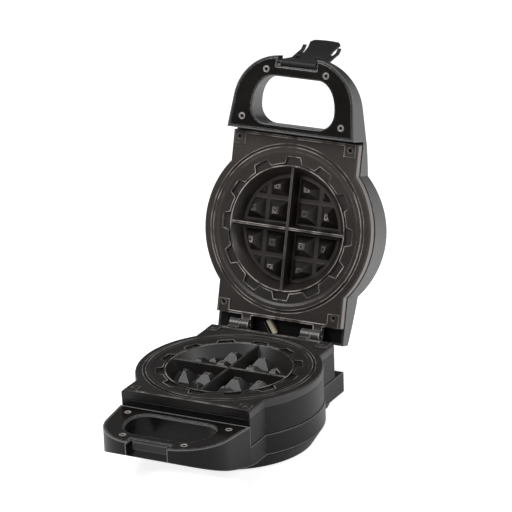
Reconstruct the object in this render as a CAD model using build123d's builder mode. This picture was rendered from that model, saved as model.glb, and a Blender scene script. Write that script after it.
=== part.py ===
import os
from math import cos, radians, sin, sqrt, tan
from build123d import *

os.makedirs("parts", exist_ok=True)

# Every half is drawn in its own frame: the origin is the centre of the cooking
# circle on the parting plane, +X to the right, +Y to the hinge, and +Z away from
# the food, into that half's casing. The lid's frame is the closed lid seen from
# above. The base's frame is the same one turned over.

# Where the halves stand, in millimetres and degrees
circle_centre_y = -38.81
lid_open_angle = 106.6

# Cooking plates
plate_radius = 112.0
neck_half_width = 84.4
front_overrun = 0.2
rear_inset = 0.6
face_gap = 0.3
pad_height = 1.2
web = 4.3
skirt_depth = 11.5
skirt_wall = 3.0
edge_round = 3.0
strip_width = 3.2
pad_length = 15.0
pad_depth = 16.5

plate_front = plate_radius + front_overrun
plate_rear = plate_radius - rear_inset

# Rings of the cooking face: widths from the plate's edge inward, and depths
rim_width = 9.3
groove_width = 3.1
groove_depth = 2.6
land_setback = 8.3
land_depth = 0.6
land_slope = 3.1
annulus_depth = 2.0
notch_setback = 4.3
notch_length = 8.0
notch_count = 12
notch_inner_width = 23.0
notch_outer_width = 17.5
channel_width = 2.0
channel_depth = 4.8
lip_width = 2.0
lip_depth = 1.7
cavity_draft = 9.0
cavity_depth = 16.5
bowl_wall = 5.0
bowl_floor = 3.5
seat_depth = 8.5

groove_radius = plate_radius - rim_width
land_radius = groove_radius - land_setback
step_radius = land_radius - land_slope
notch_radius = step_radius - notch_setback
channel_radius = notch_radius - notch_length
lip_radius = channel_radius - channel_width
cavity_radius = lip_radius - lip_width
cavity_floor_radius = cavity_radius - cavity_draft
bowl_wall_radius = cavity_radius + bowl_wall

# Waffle pattern
divider_top = 3.0
divider_base = 10.0
stud_side = 25.5
stud_first = 19.75
stud_pitch = 30.8
stud_height = 11.0
stud_taper = 38.5
stud_margin = 4.0
stud_lean = 7.0
dimple_radius = 1.8
dimple_depth = 0.8
dimple_edge = 0.2

stud_circle = cavity_floor_radius - stud_margin
stud_circle_top = stud_circle - stud_lean

# Fasteners
screw_radius = 1.5
screw_head_radius = 3.2
screw_head = 1.4
screw_clearance = 0.15
plate_screw_length = 17.5
cover_screw_length = 14.0
boss_radius = 4.0
boss_depth = 20.8
slot_width = 0.8
slot_length = 3.8
slot_depth = 0.8
screw_from_side = 9.9
screw_from_front = 7.7
screw_from_rear = 12.3

plate_screw_x = neck_half_width - screw_from_side
plate_screw_front = plate_front - screw_from_front
plate_screw_rear = plate_rear - screw_from_rear

# Hinge
hinge_reach = 12.3
knuckle_radius = 7.0
knuckle_width = 12.5
knuckle_places = (-41.8, 54.8)
hinge_pin_radius = 2.5
running_fit = 0.05
hinge_pin_length = 29.0

hinge_y = plate_rear + hinge_reach

# Handle rings
handle_reach = 96.4
handle_corner = 60.0
handle_draft = 6.8
opening_half_width = 55.4
opening_front_gap = 71.1
opening_rear_gap = 12.8
opening_front_corner = (25.0, 37.0)
opening_rear_corner = 20.0
cover_thickness = 2.5
cover_inset = 2.0
cover_bevel = 0.8
cover_screw_side = 17.9
cover_screw_x = 40.0
cover_screw_rear_gap = 18.3
cover_screw_tip_gap = 18.1
rim_below_face = 0.5
base_handle_face = 19.5
base_handle_gap = 1.3
lid_handle_face = -16.0
lid_handle_gap = 3.5

handle_tip = plate_front + handle_reach
opening_front = plate_front + opening_front_gap
opening_rear = plate_front + opening_rear_gap
base_handle_rear = plate_front + base_handle_gap
lid_handle_rear = plate_front + lid_handle_gap
cover_screw_rear = (neck_half_width - cover_screw_side, -plate_front - cover_screw_rear_gap)
cover_screw_front = (cover_screw_x, cover_screw_tip_gap - handle_tip)

# Casings and shells, with the points that their profiles pass through
fit_gap = 0.3
casing_wall = 2.5
casing_flange = 2.5
base_rim = 45.7
casing_bottom = 60.5
casing_ring_width = 26.0
shell_step = 1.0
shell_wall = 2.5
shell_overhang = 9.3
base_bottom = 71.0
base_fall = 12.2
base_belly = (37.8, 60.5)
base_tip = (3.7, 34.0)
lid_rim = 13.0
lid_tip = (4.4, -2.0)
lid_brow = (52.8, 9.5)
lid_crease = (3.8, 21.5)
lid_crown = (10.0, 47.0)
lid_back = (7.0, 24.0)
liner_lip = 8.0

casing_ring_radius = plate_radius - casing_ring_width
shell_rear = hinge_y + shell_overhang

# Bottom cover and feet
cover_wall = 2.5
cover_margin = 0.5
cover_slope = 11.5
cover_bottom = 91.0
cover_neck_inset = 8.4
cover_rear_inset = 3.0
cover_rear_slope = 8.0
post_radius = 5.0
post_setback = 47.0
long_screw = 33.0
foot_radius = 9.0
foot_height = 3.0
foot_peg_radius = 3.0
foot_x = 58.0
foot_front_gap = 38.0
foot_rear_gap = 14.0

parting_height = cover_bottom + foot_height
cover_top_radius = plate_radius - cover_margin
cover_bottom_radius = cover_top_radius - cover_slope
cover_rear_half_width = neck_half_width - cover_neck_inset
cover_rear_top = shell_rear - cover_rear_inset
cover_rear_bottom = cover_rear_top - cover_rear_slope
post_place = plate_radius - post_setback
foot_front = foot_front_gap - cover_bottom_radius
foot_rear = cover_rear_bottom - foot_rear_gap

# Latch and its keeper: its bends are measured from its pin, forwards and up
recess_half_width = 26.8
recess_depth = 13.6
recess_wall = 2.0
pivot_gap = 5.0
pivot_z = -9.0
barrel_radius = 4.4
barrel_length = 47.0
latch_pin_radius = 1.5
latch_pin_length = 57.0
latch_width = 51.4
latch_thickness = 2.0
latch_bends = ((3.0, 1.5), (5.4, 30.8), (12.3, 46.9))
prong_bends = ((15.3, 54.8), (21.6, 60.0))
prong_width = 4.4
tongue_length = 31.0
tongue_tilt = 31.8
tongue_neck = 17.8
tongue_flare = 20.5
catch_grip = 1.0
catch_thickness = 1.6
catch_width = 6.0
catch_x = 14.0
latch_closed_angle = 160.0
keeper_half_width = 22.5
keeper_depth = 4.0
keeper_top = 22.0
keeper_bottom = 32.0

recess_rear = handle_tip - recess_depth
pivot_y = -recess_rear - pivot_gap

# Heating parts
heater_setback = 6.0
heater_tube = 3.25
heater_arc = 306.0
terminal_radius = 1.8
terminal_length = 9.0
clamp_count = 3
clamp_size = (11.0, 9.0)
clamp_cap = 1.4
reflector_thickness = 0.8
reflector_clearance = 5.75
flange_clearance = 5.0
reflector_lap = 6.0
reflector_floor = 23.5
reflector_hole = 30.0
thermostat_radius = 9.0
thermostat_height = 8.0
fuse_radius = 2.4
fuse_length = 16.0
fuse_y = -22.0
block_size = (34.0, 18.0, 14.0)
block_gap = 41.0

heater_radius = bowl_wall_radius + heater_setback
reflector_wall_radius = heater_radius + heater_tube + reflector_clearance
flange_radius = reflector_wall_radius + flange_clearance
reflector_flange = flange_radius + reflector_lap
block_y = shell_rear - block_gap

# Small parts
gland_x = 45.0
gland_z = 60.0
gland_radius = 6.0
gland_flange = 9.0
gland_bore = 3.6
light_x = 13.0
light_gap = 28.2
light_radius = 3.0
light_flange = 4.4
light_low = 26.5
light_proud = 1.0
sleeve_radius = 3.4
sleeve_bore = 2.4
sleeve_rib = 0.6
sleeve_ribs = 6
sleeve_z = 8.4
sleeve_x = (-18.0, -7.0)
sleeve_front_gap = 3.8
sleeve_rear_gap = 2.0

light_y = light_gap - plate_front
sleeve_ends = (
    (sleeve_x[0], plate_rear + sleeve_front_gap),
    (sleeve_x[1], shell_rear - sleeve_rear_gap),
)

plate_z = face_gap + pad_height
web_under = plate_z + web
skirt_end = face_gap + skirt_depth
cavity_floor = face_gap + cavity_depth
bowl_under = cavity_floor + bowl_floor
seat_z = face_gap + seat_depth
stud_top = cavity_floor - stud_height
casing_top = skirt_end + fit_gap
shell_inner = shell_step - shell_wall

tilt = radians(lid_open_angle)
base_frame = Plane(
    origin=(0, circle_centre_y, parting_height),
    x_dir=(-1, 0, 0),
    z_dir=(0, 0, -1),
)
lid_frame = Plane(
    origin=(
        0,
        circle_centre_y + hinge_y - hinge_y * cos(tilt),
        parting_height + hinge_y * sin(tilt),
    ),
    x_dir=(1, 0, 0),
    z_dir=(0, sin(tilt), cos(tilt)),
)
frames = {"lower": base_frame, "upper": lid_frame}

screw_places = [
    (side * plate_screw_x, y)
    for side in (-1, 1)
    for y in (-plate_screw_front, plate_screw_rear)
]
cover_screw_places = [
    (side * x, y) for side in (-1, 1) for x, y in (cover_screw_rear, cover_screw_front)
]


def body_outline(grow, rear=plate_rear, mode=Mode.ADD):
    """Round body with its square necks, grown on every side but the given rear"""
    Circle(plate_radius + grow, mode=mode)
    front = plate_front + grow
    with Locations((0, (rear - front) / 2)):
        Rectangle(2 * (neck_half_width + grow), rear + front, mode=mode)


def handle_outline(grow, rear, mode=Mode.ADD):
    """D-shaped handle: a straight rear edge, drafted sides and two large round corners"""
    radius = handle_corner + grow
    draft = radians(handle_draft)
    centre_y = handle_corner - handle_tip
    bend_y = handle_corner * sin(draft) - centre_y
    bend_x = neck_half_width + shell_step - tan(draft) * (bend_y - plate_front - shell_step)
    centre_x = bend_x - handle_corner * cos(draft)
    with BuildLine(Plane.XY) as edge:
        right = CenterArc((centre_x, centre_y), radius, -handle_draft, handle_draft - 90)
        left = CenterArc((-centre_x, centre_y), radius, -90, handle_draft - 90)
        side_x = (right @ 0).X + tan(draft) * (-(right @ 0).Y - rear)
        Line(right @ 1, left @ 0)
        Polyline(left @ 1, (-side_x, -rear), (side_x, -rear), right @ 0)
    make_face(edge.edges(), mode=mode)


def opening_outline(grow, mode=Mode.ADD):
    """Hand opening of a handle ring"""
    half = opening_half_width + grow
    front_x = opening_front_corner[0] + grow
    front_y = opening_front_corner[1] + grow
    rear_r = opening_rear_corner + grow
    front_centre = front_y - opening_front - grow
    rear_centre = grow - opening_rear - rear_r
    with BuildLine(Plane.XY) as edge:
        front_right = EllipticalCenterArc(
            (half - front_x, front_centre), front_x, front_y, start_angle=0, arc_size=-90
        )
        front_left = EllipticalCenterArc(
            (front_x - half, front_centre), front_x, front_y, start_angle=-90, arc_size=-90
        )
        rear_left = CenterArc((rear_r - half, rear_centre), rear_r, 180, -90)
        rear_right = CenterArc((half - rear_r, rear_centre), rear_r, 90, -90)
        Line(front_right @ 1, front_left @ 0)
        Line(front_left @ 1, rear_left @ 0)
        Line(rear_left @ 1, rear_right @ 0)
        Line(rear_right @ 1, front_right @ 0)
    make_face(edge.edges(), mode=mode)


def recess_outline(grow, mode=Mode.ADD):
    """Recess in a handle's front edge, open to the front"""
    with Locations((0, grow - recess_rear)):
        Rectangle(
            2 * (recess_half_width + grow),
            handle_tip,
            align=(Align.CENTER, Align.MAX),
            mode=mode,
        )


# One cooking plate casting
with BuildPart() as studs:
    with BuildSketch(Plane((0, 0, cavity_floor), x_dir=(1, 0, 0), z_dir=(0, 0, -1))):
        rows = [sign * (stud_first + step * stud_pitch) for step in (0, 1) for sign in (-1, 1)]
        with Locations(*[(x, y) for x in rows for y in rows]):
            Rectangle(stud_side, stud_side)
    extrude(amount=stud_height, taper=stud_taper)
with BuildPart() as stud_limit:
    with BuildSketch(Plane.XZ):
        Polygon(
            (0, cavity_floor),
            (stud_circle, cavity_floor),
            (stud_circle_top, stud_top),
            (0, stud_top),
            align=None,
        )
    revolve(axis=Axis.Z)

with BuildPart() as plate_casting:
    with BuildSketch(Plane.XY.offset(plate_z)):
        body_outline(0)
    extrude(amount=web)
    with BuildSketch(Plane.XY.offset(plate_z)):
        body_outline(0)
        body_outline(-skirt_wall, rear=plate_rear - skirt_wall, mode=Mode.SUBTRACT)
    extrude(amount=skirt_depth - pad_height)
    face_edges = plate_casting.faces().sort_by(Axis.Z)[0].outer_wire().edges()
    side_edges = face_edges.filter_by(lambda edge: abs(edge.center().Y) < plate_rear - 1)
    fillet(side_edges, edge_round)
    with BuildSketch(Plane.XY):
        Circle(groove_radius)
    extrude(amount=web_under, mode=Mode.SUBTRACT)
    with BuildSketch(Plane.XZ):
        Polygon(
            (0, cavity_floor),
            (cavity_floor_radius, cavity_floor),
            (cavity_radius, face_gap + lip_depth + 0.8),
            (cavity_radius + 0.6, face_gap + lip_depth),
            (lip_radius, face_gap + lip_depth),
            (lip_radius, face_gap + annulus_depth),
            (step_radius, face_gap + annulus_depth),
            (land_radius, face_gap + land_depth),
            (groove_radius - groove_width, face_gap + land_depth),
            (groove_radius - groove_width + 0.5, face_gap + groove_depth),
            (groove_radius - 0.5, face_gap + groove_depth),
            (groove_radius, plate_z),
            (groove_radius + 0.8, plate_z),
            (groove_radius + 0.8, web_under),
            (land_radius, web_under + 0.6),
            (land_radius - 1.5, seat_z),
            (bowl_wall_radius, seat_z),
            (bowl_wall_radius - 2, bowl_under),
            (0, bowl_under),
            align=None,
        )
    revolve(axis=Axis.Z)
    with BuildSketch(Plane.XY):
        Circle(channel_radius)
        with PolarLocations(0, notch_count):
            Polygon(
                (lip_radius, -notch_inner_width / 2),
                (notch_radius, -notch_outer_width / 2),
                (notch_radius, notch_outer_width / 2),
                (lip_radius, notch_inner_width / 2),
                align=None,
            )
        Circle(lip_radius, mode=Mode.SUBTRACT)
    extrude(amount=face_gap + channel_depth, mode=Mode.SUBTRACT)
    for across in (Plane.YZ, Plane.XZ):
        with BuildSketch(across):
            Polygon(
                (-divider_top / 2, face_gap + annulus_depth),
                (divider_top / 2, face_gap + annulus_depth),
                (divider_base / 2, cavity_floor + 1),
                (-divider_base / 2, cavity_floor + 1),
                align=None,
            )
        extrude(amount=cavity_radius + 0.4, both=True)
    add(studs.part.intersect(stud_limit.part))
    with BuildSketch(Plane.XY.offset(stud_top)):
        first = stud_first
        second = sqrt((stud_circle_top - dimple_radius - dimple_edge) ** 2 - first**2)
        spots = [(first, first), (second, first), (first, second)]
        signs = [(1, 1), (1, -1), (-1, 1), (-1, -1)]
        with Locations(*[(sx * x, sy * y) for x, y in spots for sx, sy in signs]):
            Circle(dimple_radius)
    extrude(amount=dimple_depth, mode=Mode.SUBTRACT)
    with BuildSketch(Plane.XY.offset(face_gap)):
        strip_half = neck_half_width - edge_round
        for y in (-plate_front + strip_width / 2, plate_rear - strip_width / 2):
            with Locations((0, y)):
                Rectangle(2 * strip_half, strip_width)
        for side in (-1, 1):
            for y, reach in ((-plate_front, Align.MIN), (plate_rear, Align.MAX)):
                with Locations((side * (strip_half - pad_length / 2), y)):
                    Rectangle(pad_length, pad_depth, align=(Align.CENTER, reach))
    extrude(amount=pad_height)
    head_seat = face_gap + screw_head
    with Locations(*[(x, y, face_gap) for x, y in screw_places]):
        Cylinder(
            screw_head_radius + screw_clearance,
            screw_head,
            align=(Align.CENTER, Align.CENTER, Align.MIN),
            mode=Mode.SUBTRACT,
        )
        Cylinder(
            screw_radius + screw_clearance,
            skirt_depth,
            align=(Align.CENTER, Align.CENTER, Align.MIN),
            mode=Mode.SUBTRACT,
        )
    for x in knuckle_places:
        with Locations((x, hinge_y, face_gap)):
            Box(
                knuckle_width,
                hinge_y - plate_rear + skirt_wall,
                knuckle_radius - face_gap,
                align=(Align.CENTER, Align.MAX, Align.MIN),
            )
        with Locations(Location((x, hinge_y, 0), (0, 90, 0))):
            Cylinder(knuckle_radius, knuckle_width)
    with Locations(Location((0, hinge_y, 0), (0, 90, 0))):
        Cylinder(hinge_pin_radius + running_fit, 4 * knuckle_places[1], mode=Mode.SUBTRACT)

for half, frame in frames.items():
    with BuildPart(frame) as plate:
        add(plate_casting.part)
    plate.part.label = half + "_plate"
    export_step(plate.part, "parts/" + half + "_plate.step")


def cross_screw(places, head_z, length):
    """Pan-head screws with crossed slots, heads facing the food side"""
    with Locations(*[(x, y, head_z) for x, y in places]):
        Cylinder(
            screw_head_radius,
            screw_head,
            align=(Align.CENTER, Align.CENTER, Align.MIN),
        )
        Cylinder(
            screw_radius,
            length,
            align=(Align.CENTER, Align.CENTER, Align.MIN),
        )
        Box(
            slot_length,
            slot_width,
            slot_depth,
            align=(Align.CENTER, Align.CENTER, Align.MIN),
            mode=Mode.SUBTRACT,
        )
        Box(
            slot_width,
            slot_length,
            slot_depth,
            align=(Align.CENTER, Align.CENTER, Align.MIN),
            mode=Mode.SUBTRACT,
        )


for half, frame in frames.items():
    with BuildPart(frame) as plate_screws:
        cross_screw(screw_places, face_gap, plate_screw_length)
    plate_screws.part.label = half + "_plate_screws"
    export_step(plate_screws.part, "parts/" + half + "_plate_screws.step")

# Hinge pins, one through each pair of knuckles
for side, name in ((-1, "left"), (1, "right")):
    middle = side * sum(abs(x) for x in knuckle_places) / 2
    pin_centre = (middle, circle_centre_y + hinge_y, parting_height)
    with BuildPart() as hinge_pin:
        with Locations(Location(pin_centre, (0, 90, 0))):
            Cylinder(hinge_pin_radius, hinge_pin_length)
        chamfer(hinge_pin.edges().filter_by(GeomType.CIRCLE), 0.4)
    hinge_pin.part.label = "hinge_pin_" + name
    export_step(hinge_pin.part, "parts/hinge_pin_" + name + ".step")

# Heating element, its clamps and the reflector behind it, for each half
heater_z = seat_z + fit_gap + heater_tube
gap_angle = radians(90 + (360 - heater_arc) / 2)
with BuildPart() as heater_ring:
    across = (cos(gap_angle), sin(gap_angle), 0)
    along = (sin(gap_angle), -cos(gap_angle), 0)
    with BuildSketch(Plane((0, 0, 0), x_dir=across, z_dir=along)):
        with Locations((heater_radius, heater_z)):
            Circle(heater_tube)
    revolve(axis=Axis.Z, revolution_arc=heater_arc)
    terminal_x = heater_radius * cos(gap_angle + radians(1.5))
    terminal_y = heater_radius * sin(gap_angle + radians(1.5))
    with BuildSketch(Plane.XY.offset(heater_z)):
        with Locations((-terminal_x, terminal_y), (terminal_x, terminal_y)):
            Circle(terminal_radius)
    extrude(amount=terminal_length)

with BuildPart() as clamp_set:
    with PolarLocations(heater_radius, clamp_count, start_angle=-90):
        with Locations((0, 0, seat_z)):
            Box(
                clamp_size[0],
                clamp_size[1],
                2 * heater_tube + 2 * fit_gap + clamp_cap,
                align=(Align.CENTER, Align.CENTER, Align.MIN),
            )
    with BuildSketch(Plane.XZ):
        with Locations((heater_radius, heater_z)):
            Circle(heater_tube + fit_gap)
        with Locations((heater_radius, seat_z)):
            Rectangle(2 * (heater_tube + fit_gap), 2 * (heater_z - seat_z))
    revolve(axis=Axis.Z, mode=Mode.SUBTRACT)

flange_z = casing_top + casing_flange + fit_gap
with BuildPart() as reflector_dish:
    with BuildSketch(Plane.XZ):
        Polygon(
            (reflector_flange, flange_z),
            (reflector_wall_radius, flange_z),
            (reflector_wall_radius - 2, reflector_floor),
            (reflector_hole, reflector_floor),
            (reflector_hole, reflector_floor + reflector_thickness),
            (reflector_wall_radius - 1.4, reflector_floor + reflector_thickness),
            (reflector_wall_radius + 0.7, flange_z + reflector_thickness),
            (reflector_flange, flange_z + reflector_thickness),
            align=None,
        )
    revolve(axis=Axis.Z)
    with BuildSketch(Plane.XY.offset(reflector_floor)):
        with Locations((-terminal_x, terminal_y), (terminal_x, terminal_y)):
            Circle(2 * terminal_radius)
    extrude(amount=reflector_thickness, mode=Mode.SUBTRACT)

for half, frame in frames.items():
    with BuildPart(frame) as heater:
        add(heater_ring.part)
    heater.part.label = half + "_heater"
    export_step(heater.part, "parts/" + half + "_heater.step")
    with BuildPart(frame) as heater_clamps:
        add(clamp_set.part)
    heater_clamps.part.label = half + "_heater_clamps"
    export_step(heater_clamps.part, "parts/" + half + "_heater_clamps.step")
    with BuildPart(frame) as reflector:
        add(reflector_dish.part)
    reflector.part.label = half + "_reflector"
    export_step(reflector.part, "parts/" + half + "_reflector.step")


# Base casing: the black side wall under the lower plate, with its screw bosses
step_in = shell_step - shell_wall - fit_gap
with BuildPart() as base_casing:
    with BuildSketch(Plane.XY.offset(casing_top)):
        body_outline(0)
        body_outline(-casing_wall, rear=plate_rear - casing_wall, mode=Mode.SUBTRACT)
    extrude(amount=base_rim - casing_top)
    with BuildSketch(Plane.XY.offset(base_rim - casing_flange)):
        body_outline(step_in, rear=plate_rear + step_in)
        body_outline(step_in - casing_wall, rear=plate_rear + step_in - casing_wall, mode=Mode.SUBTRACT)
    extrude(amount=casing_bottom - base_rim + casing_flange)
    with BuildSketch(Plane.XY.offset(casing_top)):
        body_outline(-casing_wall / 2, rear=plate_rear - casing_wall / 2)
        Circle(flange_radius, mode=Mode.SUBTRACT)
    extrude(amount=casing_flange)
    with BuildSketch(Plane.XY.offset(casing_bottom - casing_flange)):
        Circle(plate_radius + step_in - casing_wall / 2)
        Circle(casing_ring_radius, mode=Mode.SUBTRACT)
    extrude(amount=casing_flange)
    with BuildSketch(Plane.XY.offset(web_under + fit_gap)):
        with Locations(*screw_places):
            Circle(boss_radius)
    extrude(amount=boss_depth - web_under - fit_gap)
    with BuildSketch(Plane.XY):
        with Locations(*screw_places):
            Circle(screw_radius + screw_clearance)
    extrude(amount=boss_depth - casing_wall, mode=Mode.SUBTRACT)
    with BuildSketch(Plane.XY.offset(casing_bottom)):
        with GridLocations(2 * post_place, 2 * post_place, 2, 2):
            Circle(screw_radius + screw_clearance)
    extrude(amount=-casing_flange, mode=Mode.SUBTRACT)
base_casing.part.move(base_frame.location)
base_casing.part.label = "base_casing"
export_step(base_casing.part, "parts/base_casing.step")

# Base shell with its handle ring
root_z = base_handle_face + rim_below_face
seat_of_cover = base_handle_face + cover_thickness + fit_gap
with BuildPart() as underside:
    with BuildSketch(Plane.YZ):
        with BuildLine():
            start = (base_fall - plate_front, base_bottom)
            belly = (-plate_front - base_belly[0], base_belly[1])
            tip = (-handle_tip - base_tip[0], base_tip[1])
            arc = ThreePointArc(start, belly, tip)
            Polyline(tip, (tip[0], 2 * base_bottom), (start[0], 2 * base_bottom), arc @ 0)
        make_face()
    extrude(amount=plate_radius, both=True)
with BuildPart() as base_hollow:
    with BuildSketch(Plane.XY.offset(base_rim - 1)):
        body_outline(shell_inner, rear=plate_rear + shell_inner)
    extrude(amount=base_bottom - shell_wall - base_rim + 1)
    with BuildSketch(Plane.XY.offset(base_rim + shell_wall)):
        body_outline(shell_inner, rear=shell_rear - shell_wall)
    extrude(amount=base_bottom - 2 * shell_wall - base_rim)
    with BuildSketch(Plane.XY.offset(root_z - 1)):
        handle_outline(-shell_wall, base_handle_rear + shell_wall)
        opening_outline(shell_wall, mode=Mode.SUBTRACT)
        recess_outline(recess_wall, mode=Mode.SUBTRACT)
        with Locations(*cover_screw_places):
            Circle(boss_radius, mode=Mode.SUBTRACT)
    extrude(amount=base_bottom)
    with BuildSketch(Plane.XY.offset(base_rim + shell_wall)):
        handle_outline(-shell_wall, plate_front - shell_wall)
        opening_outline(shell_wall, mode=Mode.SUBTRACT)
        with Locations(*cover_screw_places):
            Circle(boss_radius, mode=Mode.SUBTRACT)
        recess_outline(recess_wall, mode=Mode.SUBTRACT)
    extrude(amount=base_bottom - 2 * shell_wall - base_rim)
    add(underside.part.moved(Location((0, 0, -shell_wall))), mode=Mode.SUBTRACT)
with BuildPart() as base_shell:
    with BuildSketch(Plane.XY.offset(base_rim)):
        body_outline(shell_step, rear=shell_rear)
        handle_outline(0, plate_front + shell_step)
    extrude(amount=base_bottom - base_rim)
    with BuildSketch(Plane.XY.offset(root_z)):
        handle_outline(0, base_handle_rear)
    extrude(amount=base_bottom - root_z)
    add(underside.part, mode=Mode.SUBTRACT)
    add(base_hollow.part, mode=Mode.SUBTRACT)
    with BuildSketch(Plane.XY):
        opening_outline(0)
        recess_outline(0)
    extrude(amount=base_bottom + 1, mode=Mode.SUBTRACT)
    with BuildSketch(Plane.XY.offset(root_z - 1)):
        handle_outline(fit_gap - cover_inset, base_handle_rear + cover_inset - fit_gap)
    extrude(amount=seat_of_cover - root_z + 1, mode=Mode.SUBTRACT)
    with BuildSketch(Plane.XY.offset(base_bottom)):
        Circle(cover_top_radius - cover_wall)
    extrude(amount=-shell_wall, mode=Mode.SUBTRACT)
    with BuildSketch(Plane.XY.offset(seat_of_cover)):
        with Locations(*cover_screw_places):
            Circle(screw_radius + screw_clearance)
    extrude(amount=cover_screw_length, mode=Mode.SUBTRACT)
    with Locations(Location((-gland_x, shell_rear, gland_z), (90, 0, 0))):
        Cylinder(gland_radius + fit_gap, 4 * shell_wall, mode=Mode.SUBTRACT)
base_shell.part.move(base_frame.location)
base_shell.part.label = "base_shell"
export_step(base_shell.part, "parts/base_shell.step")

# Bottom cover with its screw posts, closing the base from below
cover_top = base_bottom + fit_gap
with BuildPart() as bottom_cover:
    with BuildSketch(Plane.XZ):
        Polygon(
            (0, cover_bottom),
            (cover_bottom_radius, cover_bottom),
            (cover_top_radius, cover_top + 2),
            (cover_top_radius, cover_top),
            (0, cover_top),
            align=None,
        )
    revolve(axis=Axis.Z)
    with BuildSketch(Plane.XY.offset(cover_top)):
        with Locations((0, cover_rear_top / 2)):
            Rectangle(2 * cover_rear_half_width, cover_rear_top)
    with BuildSketch(Plane.XY.offset(cover_bottom)):
        with Locations((0, cover_rear_bottom / 2)):
            Rectangle(2 * (cover_rear_half_width - 8), cover_rear_bottom)
    loft()
    with BuildSketch(Plane.XZ):
        Polygon(
            (0, cover_bottom - cover_wall),
            (cover_bottom_radius - cover_wall, cover_bottom - cover_wall),
            (cover_top_radius - cover_wall, cover_top + 2),
            (cover_top_radius - cover_wall, cover_top - 1),
            (0, cover_top - 1),
            align=None,
        )
    revolve(axis=Axis.Z, mode=Mode.SUBTRACT)
    with BuildSketch(Plane.XY.offset(cover_top)):
        with Locations((0, (cover_rear_top - cover_wall) / 2)):
            Rectangle(2 * (cover_rear_half_width - cover_wall), cover_rear_top - cover_wall)
    with BuildSketch(Plane.XY.offset(cover_bottom - cover_wall)):
        with Locations((0, (cover_rear_bottom - cover_wall) / 2)):
            Rectangle(2 * (cover_rear_half_width - 8 - cover_wall), cover_rear_bottom - cover_wall)
    loft(mode=Mode.SUBTRACT)
    with BuildSketch(Plane.XY.offset(cover_bottom - cover_wall / 2)):
        with GridLocations(2 * post_place, 2 * post_place, 2, 2):
            Circle(post_radius)
    extrude(amount=casing_bottom + fit_gap - cover_bottom + cover_wall / 2)
    with BuildSketch(Plane.XY.offset(cover_bottom)):
        with GridLocations(2 * post_place, 2 * post_place, 2, 2):
            Circle(screw_head_radius + screw_clearance)
    extrude(amount=-screw_head - cover_wall, mode=Mode.SUBTRACT)
    with BuildSketch(Plane.XY.offset(cover_bottom)):
        with GridLocations(2 * post_place, 2 * post_place, 2, 2):
            Circle(screw_radius + screw_clearance)
        with Locations(*[(side * foot_x, y) for side in (-1, 1) for y in (foot_front, foot_rear)]):
            Circle(foot_peg_radius + fit_gap / 2)
    extrude(amount=-cover_bottom, mode=Mode.SUBTRACT)
bottom_cover.part.move(base_frame.location)
bottom_cover.part.label = "bottom_cover"
export_step(bottom_cover.part, "parts/bottom_cover.step")

with BuildPart() as bottom_cover_screws:
    turned = Plane((0, 0, cover_bottom - cover_wall), x_dir=(1, 0, 0), z_dir=(0, 0, -1))
    with BuildSketch(turned):
        with GridLocations(2 * post_place, 2 * post_place, 2, 2):
            Circle(screw_head_radius)
    extrude(amount=screw_head)
    with BuildSketch(turned):
        with GridLocations(2 * post_place, 2 * post_place, 2, 2):
            Circle(screw_radius)
    extrude(amount=long_screw)
    with BuildSketch(turned):
        with GridLocations(2 * post_place, 2 * post_place, 2, 2):
            Rectangle(slot_length, slot_width)
            Rectangle(slot_width, slot_length)
    extrude(amount=slot_depth, mode=Mode.SUBTRACT)
bottom_cover_screws.part.move(base_frame.location)
bottom_cover_screws.part.label = "bottom_cover_screws"
export_step(bottom_cover_screws.part, "parts/bottom_cover_screws.step")

for end, y in (("front", foot_front), ("rear", foot_rear)):
    for side, x in (("left", foot_x), ("right", -foot_x)):
        with BuildPart() as foot:
            with BuildSketch(Plane.XY.offset(cover_bottom)):
                with Locations((x, y)):
                    Circle(foot_radius)
            extrude(amount=foot_height)
            fillet(foot.faces().sort_by(Axis.Z)[-1].edges(), 1.0)
            with BuildSketch(Plane.XY.offset(cover_bottom)):
                with Locations((x, y)):
                    Circle(foot_peg_radius)
            extrude(amount=-cover_wall - 1.5)
        foot.part.move(base_frame.location)
        foot.part.label = end + "_" + side + "_foot"
        export_step(foot.part, "parts/" + end + "_" + side + "_foot.step")

# Covers of the two handle rings, and their screws
handle_faces = {
    "base": (base_handle_face, base_handle_rear, base_frame),
    "lid": (lid_handle_face, lid_handle_rear, lid_frame),
}
for name, (face_z, rear, frame) in handle_faces.items():
    with BuildPart() as handle_cover:
        with BuildSketch(Plane.XY.offset(face_z)):
            handle_outline(-cover_inset, rear + cover_inset)
            opening_outline(0, mode=Mode.SUBTRACT)
            recess_outline(0, mode=Mode.SUBTRACT)
        extrude(amount=cover_thickness)
        chamfer(handle_cover.faces().sort_by(Axis.Z)[0].edges(), cover_bevel)
        with BuildSketch(Plane.XY.offset(face_z)):
            with Locations(*cover_screw_places):
                Circle(screw_head_radius + screw_clearance)
        extrude(amount=screw_head, mode=Mode.SUBTRACT)
        with BuildSketch(Plane.XY.offset(face_z)):
            with Locations(*cover_screw_places):
                Circle(screw_radius + screw_clearance)
        extrude(amount=cover_thickness, mode=Mode.SUBTRACT)
    handle_cover.part.move(frame.location)
    handle_cover.part.label = name + "_handle_cover"
    export_step(handle_cover.part, "parts/" + name + "_handle_cover.step")
    with BuildPart(frame) as handle_screws:
        cross_screw(cover_screw_places, face_z, cover_screw_length)
    handle_screws.part.label = name + "_handle_screws"
    export_step(handle_screws.part, "parts/" + name + "_handle_screws.step")

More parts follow.
